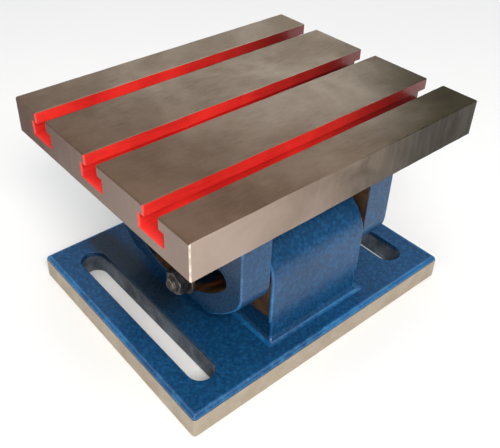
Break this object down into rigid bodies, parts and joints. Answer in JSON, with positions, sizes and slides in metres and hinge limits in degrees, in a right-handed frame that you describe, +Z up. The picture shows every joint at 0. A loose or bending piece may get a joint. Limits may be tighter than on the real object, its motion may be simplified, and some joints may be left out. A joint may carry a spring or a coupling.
{
  "type": "tilting t-slot table",
  "caption": "Small workholding table with T-slots that tilts about a shaft on a cast pedestal and clamps through arc slots in two hanging ears.",
  "frame": {"origin": "centre of the base's underside", "axes": "+X along the T-slots and the tilt axis, +Z up, -Y towards the front edge; right end is +X"},
  "size_m": [0.25, 0.2, 0.164],
  "materials": {
    "ground_iron": "ground, light oil stain",
    "blue_paint": "gloss hammered enamel over cast iron",
    "steel": "turned",
    "black_steel": "black oxide",
    "bronze": "turned bronze",
    "scale_plate": "satin, engraved"
  },
  "bodies": {
    "base": {"base_casting": "blue_paint", "tilt_shaft": "steel", "shaft_set_screw": "black_steel", "left_thrust_washer": "bronze", "left_clamp_stud": "steel", "left_clamp_washer": "steel", "right_thrust_washer": "bronze", "right_clamp_stud": "steel", "right_clamp_washer": "steel", "pointer": "black_steel", "pointer_screw": "steel"},
    "table": {"table_plate": "ground_iron", "left_ear": "blue_paint", "left_ear_screw_1": "black_steel", "left_ear_screw_2": "black_steel", "left_ear_screw_3": "black_steel", "left_ear_screw_4": "black_steel", "left_dowel_1": "steel", "left_dowel_2": "steel", "left_bush": "bronze", "right_ear": "blue_paint", "right_ear_screw_1": "black_steel", "right_ear_screw_2": "black_steel", "right_ear_screw_3": "black_steel", "right_ear_screw_4": "black_steel", "right_dowel_1": "steel", "right_dowel_2": "steel", "right_bush": "bronze", "angle_scale": "scale_plate", "scale_screw_1": "steel", "scale_screw_2": "steel"},
    "left_nut": {"left_clamp_nut": "black_steel"},
    "right_nut": {"right_clamp_nut": "black_steel"}
  },
  "joints": [
    {"name": "table_tilt", "type": "hinge", "parent": "base", "child": "table", "pos_m": [0, 0, 0.12], "axis": [1, 0, 0], "range_deg": [-30, 30]},
    {"name": "left_nut_turn", "type": "hinge", "parent": "base", "child": "left_nut", "pos_m": [-0.0781, -0.01957, 0.05175], "axis": [1, 0, 0], "range_deg": [0, 180]},
    {"name": "right_nut_turn", "type": "hinge", "parent": "base", "child": "right_nut", "pos_m": [0.0781, -0.01957, 0.05175], "axis": [1, 0, 0], "range_deg": [-180, 0]}
  ]
}
